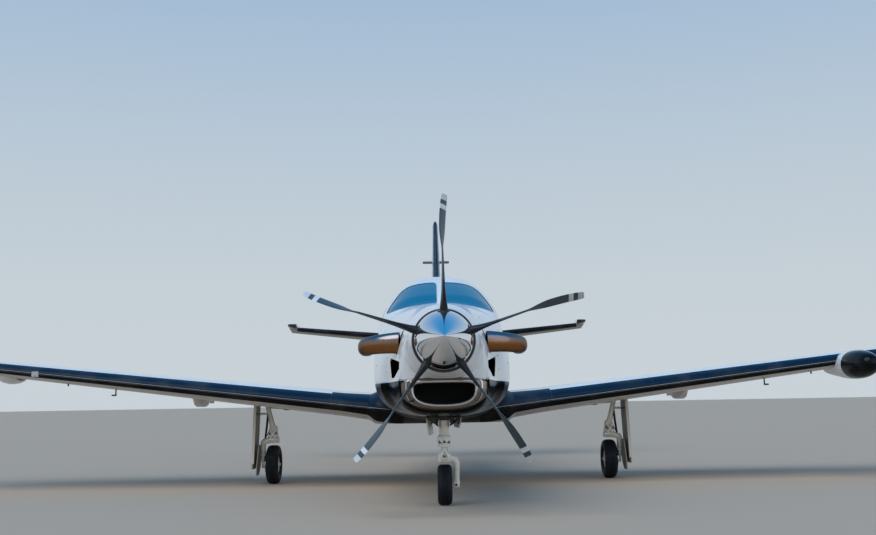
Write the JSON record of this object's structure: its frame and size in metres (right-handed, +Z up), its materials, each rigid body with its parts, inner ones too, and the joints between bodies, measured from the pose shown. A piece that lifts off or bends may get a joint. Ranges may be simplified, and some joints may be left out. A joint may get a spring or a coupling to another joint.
{
  "type": "light turboprop aircraft",
  "caption": "Low-wing single-engine turboprop aircraft on its wheels, with a pressure cabin, moving control surfaces, a wing-mounted radar pod and a spinning propeller",
  "frame": {"origin": "on the ground, under the middle of the length and the width", "axes": "+X to the aircraft's left along the span, +Y aft, +Z up"},
  "size_m": [12.6818, 10.64, 3.975],
  "materials": {
    "white_paint": "glossy white paint over aluminium sheet",
    "tail_paint": "glossy white paint over light skins",
    "cowl_white": "glossy white paint",
    "lower_cowl": "dark silver metallic paint",
    "polished_metal": "polished",
    "stack_steel": "polished steel, bronzed by heat",
    "blade_paint": "slate grey paint on composite, banded tips",
    "black_gloss": "glossy black",
    "glazing": "clear, sky-tinted",
    "gear_paint": "cream enamel",
    "door_paint": "white paint over sheet",
    "rubber": "worn black rubber",
    "cabin_leather": "beige leather over foam",
    "floor_trim": "grey carpet",
    "antenna_grey": "grey plastic sleeve",
    "casting": "grey castings, as one plain block"
  },
  "bodies": {
    "airframe": {"cabin_shell": "white_paint", "wing_left": "white_paint", "wing_right": "white_paint", "radar_pod": "white_paint", "stabiliser_left": "tail_paint", "stabiliser_right": "tail_paint", "fin": "tail_paint", "tail_cone": "tail_paint", "cowl_top": "cowl_white", "cowl_bottom": "lower_cowl", "intake_lip": "polished_metal", "exhaust_left": "stack_steel", "exhaust_right": "stack_steel", "radome": "black_gloss", "instrument_panel": "black_gloss", "side_glass_left": "glazing", "side_glass_right": "glazing", "windshield": "glazing", "nose_leg": "gear_paint", "main_leg_left": "gear_paint", "main_leg_right": "gear_paint", "nose_door_left": "door_paint", "nose_door_right": "door_paint", "main_door_upper_left": "door_paint", "main_door_upper_right": "door_paint", "main_door_lower_left": "door_paint", "main_door_lower_right": "door_paint", "front_seats": "cabin_leather", "mid_seats": "cabin_leather", "rear_seats": "cabin_leather", "cabin_floor": "floor_trim", "nav_antenna": "antenna_grey", "engine": "casting"},
    "propeller": {"spinner": "polished_metal", "blade_1": "blade_paint", "blade_2": "blade_paint", "blade_3": "blade_paint", "blade_4": "blade_paint", "blade_5": "blade_paint"},
    "nose_fork": {"nose_fork": "gear_paint"},
    "nose_wheel": {"nose_tyre": "rubber", "nose_rim": "gear_paint"},
    "main_wheel_left": {"main_left_tyre": "rubber", "main_left_rim": "gear_paint"},
    "main_wheel_right": {"main_right_tyre": "rubber", "main_right_rim": "gear_paint"},
    "flap_left": {"flap_left": "white_paint"},
    "flap_right": {"flap_right": "white_paint"},
    "aileron_left": {"aileron_left": "white_paint"},
    "aileron_right": {"aileron_right": "white_paint"},
    "elevator_left": {"elevator_left": "tail_paint"},
    "elevator_right": {"elevator_right": "tail_paint"},
    "rudder": {"rudder": "tail_paint"},
    "cabin_door": {"cabin_door": "white_paint", "door_glass": "glazing"}
  },
  "joints": [
    {"name": "prop_spin", "type": "hinge", "parent": "airframe", "child": "propeller", "pos_m": [0, -4.84, 1.385], "axis": [0, 1, 0], "continuous": true},
    {"name": "nose_steer", "type": "hinge", "parent": "airframe", "child": "nose_fork", "pos_m": [0, -3.82, 0.5], "axis": [0, 0, 1], "range_deg": [-28, 28]},
    {"name": "nose_wheel_spin", "type": "hinge", "parent": "nose_fork", "child": "nose_wheel", "pos_m": [0, -3.72, 0.17648], "axis": [1, 0, 0], "continuous": true},
    {"name": "main_wheel_left_spin", "type": "hinge", "parent": "airframe", "child": "main_wheel_left", "pos_m": [1.92, -0.87, 0.21812], "axis": [1, 0, 0], "continuous": true},
    {"name": "main_wheel_right_spin", "type": "hinge", "parent": "airframe", "child": "main_wheel_right", "pos_m": [-1.92, -0.87, 0.21812], "axis": [1, 0, 0], "continuous": true},
    {"name": "flap_left_drop", "type": "hinge", "parent": "airframe", "child": "flap_left", "pos_m": [0.80485, -0.45533, 0.83627], "axis": [-0.9903, 0.0729, -0.1185], "range_deg": [0, 34]},
    {"name": "flap_right_drop", "type": "hinge", "parent": "airframe", "child": "flap_right", "pos_m": [-0.80485, -0.45533, 0.83627], "axis": [-0.9903, -0.0729, 0.1185], "range_deg": [0, 34]},
    {"name": "aileron_left_swing", "type": "hinge", "parent": "airframe", "child": "aileron_left", "pos_m": [4.79647, -0.73773, 1.31315], "axis": [0.9901, -0.0746, 0.1186], "range_deg": [-15, 15]},
    {"name": "aileron_right_swing", "type": "hinge", "parent": "airframe", "child": "aileron_right", "pos_m": [-4.79647, -0.73773, 1.31315], "axis": [0.9901, 0.0746, -0.1186], "range_deg": [-15, 15]},
    {"name": "elevator_left_swing", "type": "hinge", "parent": "airframe", "child": "elevator_left", "pos_m": [0.24863, 4.48702, 1.92613], "axis": [0.9936, 0.044, 0.1044], "range_deg": [-9.5, 34.5]},
    {"name": "elevator_right_swing", "type": "hinge", "parent": "airframe", "child": "elevator_right", "pos_m": [-0.24863, 4.48702, 1.92613], "axis": [0.9936, -0.044, -0.1044], "range_deg": [-9.5, 34.5]},
    {"name": "rudder_swing", "type": "hinge", "parent": "airframe", "child": "rudder", "pos_m": [0, 4.72, 1.945], "axis": [0, 0.1505, 0.9886], "range_deg": [-28, 28]},
    {"name": "cabin_door_lift", "type": "hinge", "parent": "airframe", "child": "cabin_door", "pos_m": [0.47418, 0.965, 2.117], "axis": [0, -1, 0], "range_deg": [0, 85]}
  ],
  "couplings": [
    {"joint": "flap_right_drop", "follows": "flap_left_drop", "ratio": 1},
    {"joint": "aileron_right_swing", "follows": "aileron_left_swing", "ratio": -1},
    {"joint": "elevator_right_swing", "follows": "elevator_left_swing", "ratio": 1}
  ]
}
